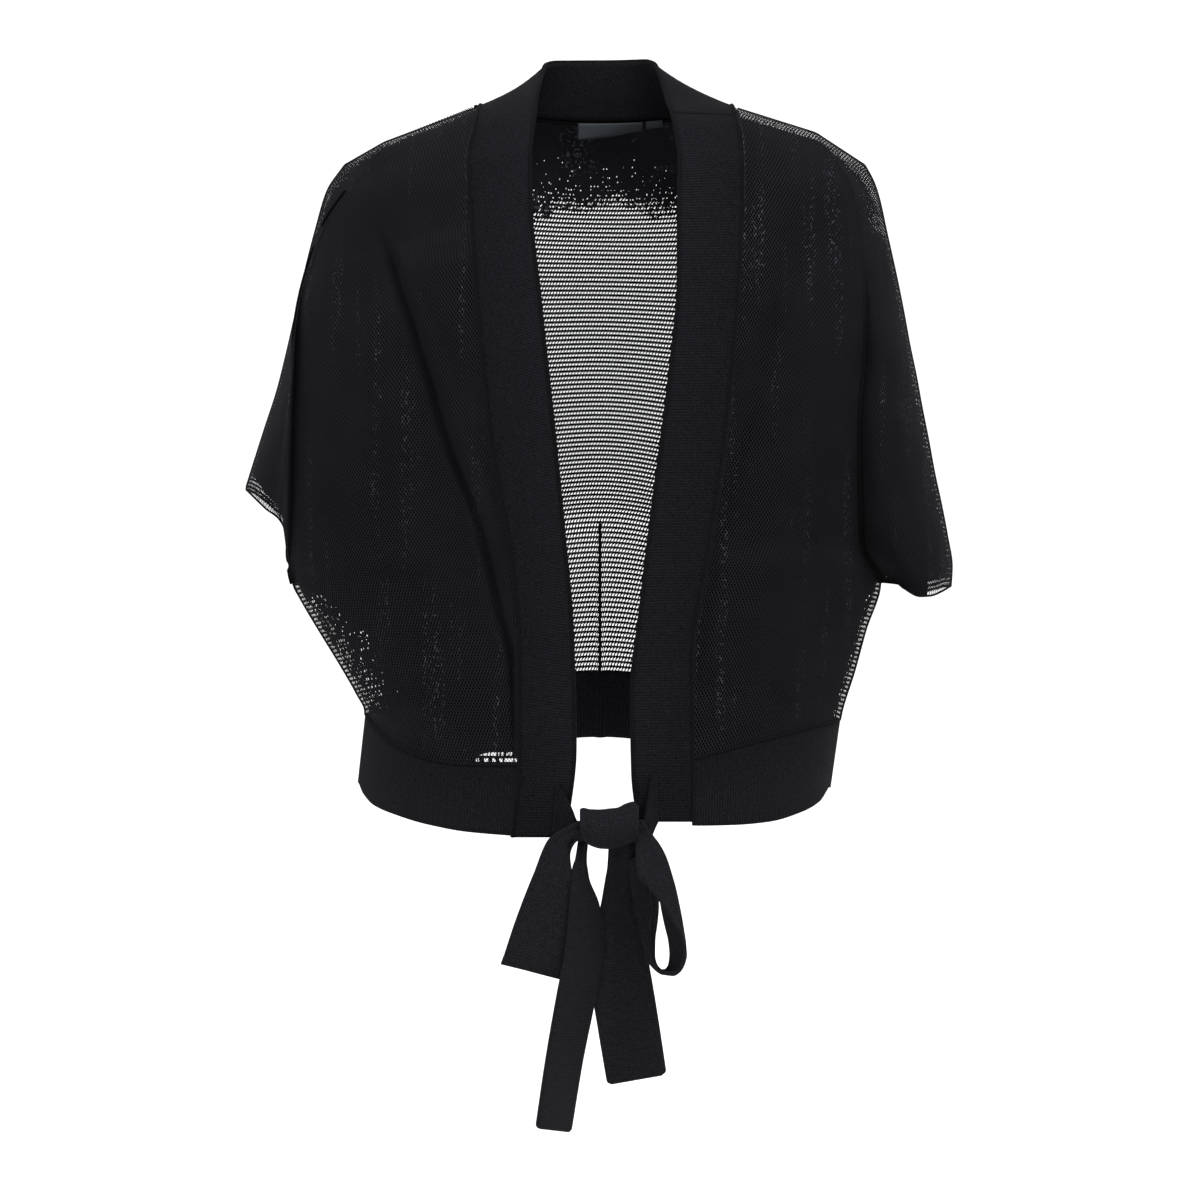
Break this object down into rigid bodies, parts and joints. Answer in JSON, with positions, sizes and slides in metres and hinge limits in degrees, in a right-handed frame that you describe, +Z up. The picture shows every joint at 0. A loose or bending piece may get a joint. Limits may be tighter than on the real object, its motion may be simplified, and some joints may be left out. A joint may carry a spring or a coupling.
{
  "type": "bolero",
  "caption": "Short open-front knitted bolero with batwing sleeves, see-through body, rib bands and a tie bow.",
  "frame": {"origin": "midway between the two shoulder points at the neck, where the wearer's shoulders carry the garment", "axes": "+Z up, +X to the wearer's left, the wearer faces -Y"},
  "size_m": [0.5352, 0.2469, 0.7994],
  "materials": {
    "mesh_knit": "soft black yarn knitted as an open mesh",
    "rib_knit": "soft black yarn in a close fine rib",
    "label_cloth": "smooth slate grey woven label, bare"
  },
  "bodies": {
    "root": {"back_panel": "mesh_knit", "front_left_panel": "mesh_knit", "front_right_panel": "mesh_knit", "band_left": "rib_knit", "band_right": "rib_knit", "hem_back": "rib_knit", "hem_left": "rib_knit", "hem_right": "rib_knit", "tie_start_left": "rib_knit", "tie_start_right": "rib_knit", "bow_knot": "rib_knit", "bow_loop_left": "rib_knit", "bow_loop_right": "rib_knit", "tail_long": "rib_knit", "tail_wide": "rib_knit", "neck_label": "label_cloth", "size_tab": "label_cloth"}
  },
  "joints": []
}
